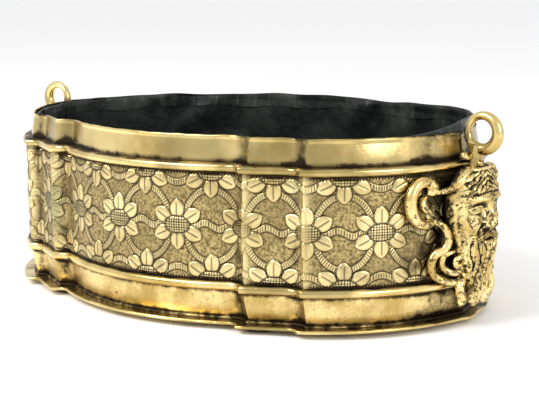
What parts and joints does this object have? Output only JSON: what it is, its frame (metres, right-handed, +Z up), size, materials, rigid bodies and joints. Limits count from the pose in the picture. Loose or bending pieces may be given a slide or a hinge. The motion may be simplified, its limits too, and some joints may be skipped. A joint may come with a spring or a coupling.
{
  "type": "planter pot",
  "caption": "Long lobed brass jardiniere with a flowered frieze, bearded masks and ring eyes at the ends, bun feet and a lift-out grey metal liner",
  "frame": {"origin": "centre of the footprint, on the table under the feet", "axes": "+X along the pot towards one mask, +Y across it towards the back, +Z up"},
  "size_m": [0.4518, 0.2752, 0.1492],
  "materials": {
    "polished_brass": "polished, worn, with dark tarnish in the corners",
    "brushed_brass": "rubbed smooth with fine grain",
    "chased_brass": "polished raised flowers on a matted dull ground",
    "cast_brass": "pitted casting, polished on the high places",
    "dark_brass": "dull and tarnished",
    "black_feet": "glossy black",
    "grey_liner": "dull beaten sheet metal, dented"
  },
  "bodies": {
    "pot": {"lip_front": "polished_brass", "lip_back": "polished_brass", "upper_bead_front": "polished_brass", "upper_bead_back": "polished_brass", "lower_bead_front": "polished_brass", "lower_bead_back": "polished_brass", "base_band_front": "brushed_brass", "base_band_back": "brushed_brass", "flange_front": "brushed_brass", "flange_back": "brushed_brass", "frieze_front": "chased_brass", "frieze_back": "chased_brass", "mask_right": "cast_brass", "mask_left": "cast_brass", "eye_right": "cast_brass", "eye_left": "cast_brass", "eye_rivets": "cast_brass", "base_plate": "dark_brass", "foot_screws": "dark_brass", "mask_studs": "dark_brass", "mask_nuts": "dark_brass", "foot_front_right": "black_feet", "foot_front_left": "black_feet", "foot_back_right": "black_feet", "foot_back_left": "black_feet"},
    "liner": {"liner_floor": "grey_liner", "liner_wall_front": "grey_liner", "liner_wall_back": "grey_liner", "liner_hem_front": "grey_liner", "liner_hem_back": "grey_liner", "liner_lap": "grey_liner"}
  },
  "joints": [
    {"name": "liner_lift", "type": "slide", "parent": "pot", "child": "liner", "axis": [0, 0, 1], "range_m": [0, 0.142]}
  ]
}
